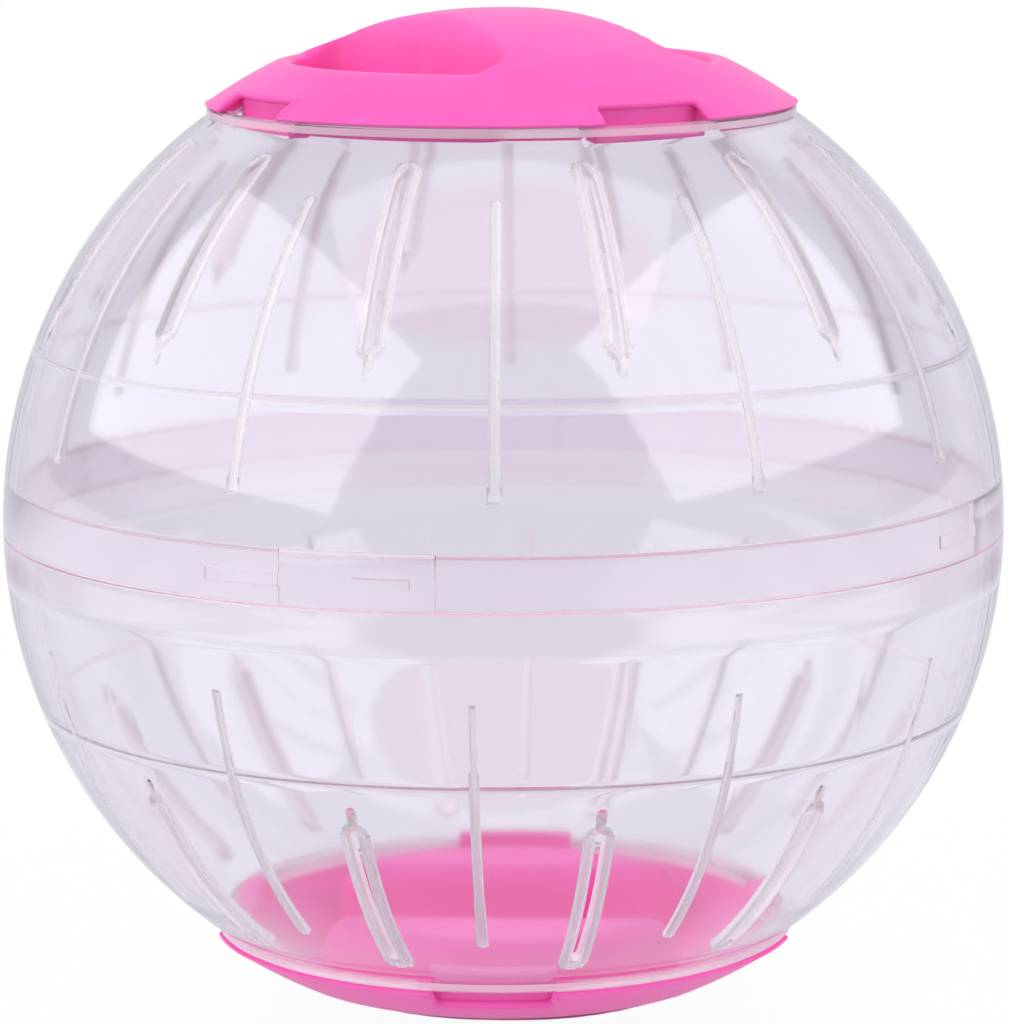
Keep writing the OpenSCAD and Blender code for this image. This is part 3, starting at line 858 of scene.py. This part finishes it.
def studioFloor():
    lowest = float(cadBox[0][2])
    half = studio["floorSize"] / 2
    mesh = bpy.data.meshes.new("studio_floor")
    corners = [(-half, -half, lowest), (half, -half, lowest), (half, half, lowest), (-half, half, lowest)]
    mesh.from_pydata(corners, [], [(0, 1, 2, 3)])
    floor = bpy.data.objects.new("studio_floor", mesh)
    bpy.context.scene.collection.objects.link(floor)
    mat = newMaterial("studio paper, pale")
    # the plain share depends on how a ray came: from the camera, or reflected and refracted
    path = addNode(mat, "ShaderNodeLightPath")
    isCamera = path.outputs["Is Camera Ray"]
    coords = addNode(mat, "ShaderNodeTexCoord")
    away = addNode(mat, "ShaderNodeVectorMath", {"operation": "LENGTH"}, links={0: coords.outputs["Object"]})
    near, far = studio["shadowReach"]
    white = addNode(mat, "ShaderNodeMapRange", {"interpolation_type": "SMOOTHSTEP"},
                    links={"Value": away.outputs["Value"]}, From_Min=near, From_Max=far,
                    To_Min=studio["cameraWhite"], To_Max=1.0)
    cameraPart = addNode(mat, "ShaderNodeMath", {"operation": "MULTIPLY"},
                         links={0: isCamera, 1: white.outputs["Result"]})
    other = addNode(mat, "ShaderNodeMath", {"operation": "MAXIMUM"},
                    links={0: path.outputs["Is Glossy Ray"], 1: path.outputs["Is Transmission Ray"]})
    otherPart = addNode(mat, "ShaderNodeMath", {"operation": "MULTIPLY"}, links={0: other.outputs[0]})
    otherPart.inputs[1].default_value = studio["seenShare"]
    share = addNode(mat, "ShaderNodeMath", {"operation": "MAXIMUM"},
                    links={0: otherPart.outputs[0], 1: cameraPart.outputs[0]})
    paper = addNode(mat, "ShaderNodeBsdfDiffuse", Color=hexToLinear(studio["floorColour"]))
    # the camera looks through this share to the white behind, so a lid that is taken off downward still shows
    clear = addNode(mat, "ShaderNodeBsdfTransparent", Color=hexToLinear("#FFFFFF"))
    seen = addNode(mat, "ShaderNodeEmission", Color=hexToLinear(studio["seenColour"]), Strength=1.0)
    plain = addNode(mat, "ShaderNodeMixShader", links={0: isCamera, 1: seen.outputs[0], 2: clear.outputs[0]})
    both = addNode(mat, "ShaderNodeMixShader",
                   links={0: share.outputs[0], 1: paper.outputs[0], 2: plain.outputs[0]})
    addNode(mat, "ShaderNodeOutputMaterial", links={"Surface": both.outputs[0]})
    mesh.materials.append(mat)


def studioWorld():
    # plain white to the camera; through the plastic it darkens upwards, as a studio's ceiling does, and
    # reflections see it darken away from the backdrop behind the ball
    world = bpy.data.worlds.new("studio")
    bpy.context.scene.world = world
    world.use_nodes = True
    world.node_tree.nodes.clear()
    direction = addNode(world, "ShaderNodeTexCoord")
    axes = addNode(world, "ShaderNodeSeparateXYZ", links={"Vector": direction.outputs["Generated"]})
    rise = addNode(world, "ShaderNodeMapRange", {"interpolation_type": "SMOOTHSTEP"},
                   links={"Value": axes.outputs["Z"]}, From_Min=studio["ceiling"][0],
                   From_Max=studio["ceiling"][1])
    path = addNode(world, "ShaderNodeLightPath")
    sides = addNode(world, "ShaderNodeMapRange", {"interpolation_type": "SMOOTHSTEP"},
                    links={"Value": axes.outputs["Y"]}, From_Min=studio["backdrop"][0],
                    From_Max=studio["backdrop"][1])
    dim = addNode(world, "ShaderNodeMix", {"data_type": "FLOAT"},
                  links={0: path.outputs["Is Glossy Ray"], 2: rise.outputs["Result"],
                         3: sides.outputs["Result"]})
    sky = addNode(world, "ShaderNodeMix", {"data_type": "RGBA"}, links={"Factor": dim.outputs[0]})
    sky.inputs[6].default_value = hexToLinear(studio["seenColour"])
    sky.inputs[7].default_value = hexToLinear(studio["ceilingColour"])
    plain = addNode(world, "ShaderNodeBackground", Color=hexToLinear("#FFFFFF"), Strength=studio["fill"])
    seen = addNode(world, "ShaderNodeBackground", links={"Color": sky.outputs[2]}, Strength=1.0)
    white = addNode(world, "ShaderNodeBackground", Color=hexToLinear("#FFFFFF"), Strength=1.0)
    either = addNode(world, "ShaderNodeMath", {"operation": "MAXIMUM"},
                     links={0: path.outputs["Is Glossy Ray"], 1: path.outputs["Is Transmission Ray"]})
    indirect = addNode(world, "ShaderNodeMixShader",
                       links={0: either.outputs[0], 1: plain.outputs[0], 2: seen.outputs[0]})
    both = addNode(world, "ShaderNodeMixShader",
                   links={0: path.outputs["Is Camera Ray"], 1: indirect.outputs[0], 2: white.outputs[0]})
    addNode(world, "ShaderNodeOutputWorld", links={"Surface": both.outputs[0]})


def addSoftbox(name, azimuth, elevation, distance, wide, high, brightness):
    # a lamp of a stated size and brightness that faces the middle of the ball
    lamp = bpy.data.lights.new(name, "AREA")
    lamp.shape = "RECTANGLE"
    lamp.size, lamp.size_y = wide, high
    lamp.energy = brightness * math.pi * wide * high
    box = bpy.data.objects.new(name, lamp)
    bpy.context.scene.collection.objects.link(box)
    side, up = math.radians(azimuth), math.radians(elevation)
    place = Vector((math.sin(side) * math.cos(up), -math.cos(side) * math.cos(up), math.sin(up))) * distance
    box.location = place
    box.rotation_euler = (-place).to_track_quat("-Z", "Y").to_euler()
    box.visible_camera = False


studioFloor()
studioWorld()
for lampName, lampValues in softboxes.items():
    addSoftbox(lampName, *lampValues)

photo = {
    "imageSize": (1009, 1024),
    "focalPixels": 4769,
    "middle": (503.5, 516.7),   # where the ball's centre shows
    "ballRadius": 72.5 * mm,
    "distanceInRadii": 9.58,
    "elevation": 9.61,
    "roll": 0.27,
    "sensor": 36.0,
}


def photoCamera():
    wide, high = photo["imageSize"]
    longSide = max(wide, high)
    cam = bpy.data.cameras.new("photo_camera")
    cam.sensor_width = photo["sensor"]
    cam.lens = photo["focalPixels"] / longSide * photo["sensor"]
    cam.shift_x = (wide / 2 - photo["middle"][0]) / longSide
    cam.shift_y = (photo["middle"][1] - high / 2) / longSide
    cam.clip_start = 0.01
    view = bpy.data.objects.new("photo_camera", cam)
    bpy.context.scene.collection.objects.link(view)
    tilt = math.radians(photo["elevation"])
    away = photo["distanceInRadii"] * photo["ballRadius"]
    view.location = (0, -away * math.cos(tilt), away * math.sin(tilt))
    view.rotation_mode = "XYZ"
    view.rotation_euler = (math.pi / 2 - tilt, 0, 0)
    view.rotation_euler.rotate_axis("Z", math.radians(-photo["roll"]))
    bpy.context.scene.camera = view


photoCamera()
bpy.context.scene.view_settings.view_transform = "Standard"
print("studio and camera ready")
